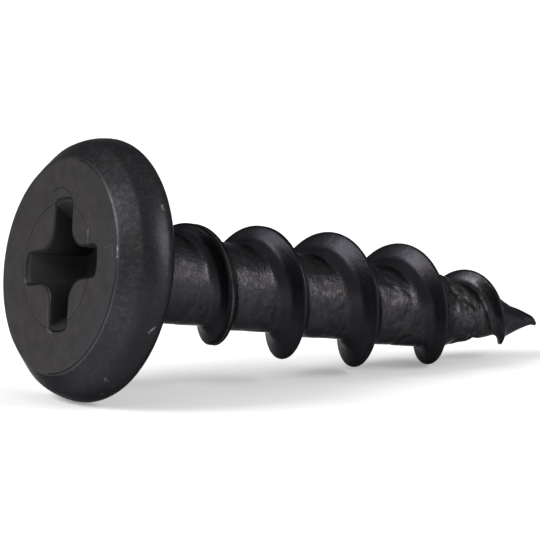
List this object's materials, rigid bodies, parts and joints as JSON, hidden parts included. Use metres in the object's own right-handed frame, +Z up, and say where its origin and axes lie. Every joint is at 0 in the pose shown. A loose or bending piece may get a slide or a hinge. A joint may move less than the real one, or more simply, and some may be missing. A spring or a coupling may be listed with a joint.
{
  "type": "assembly screw",
  "caption": "Short steel assembly screw lying on its side, with a low round head, a cross recess, a deep coarse right-hand thread and a sharp gimlet point.",
  "frame": {"origin": "centre of the bounding box, at the floor that the screw lies on", "axes": "+Z up; +X along the screw in plan, from the head to the tip; the axis drops towards the tip by 10.7 degrees, so that the head's edge and one crest of the thread touch the floor"},
  "size_m": [0.0214, 0.0094, 0.0094],
  "materials": {
    "phosphated_steel": "dark grey phosphate coat, satin, burnished on the core"
  },
  "bodies": {
    "root": {"screw": "phosphated_steel"}
  },
  "joints": []
}
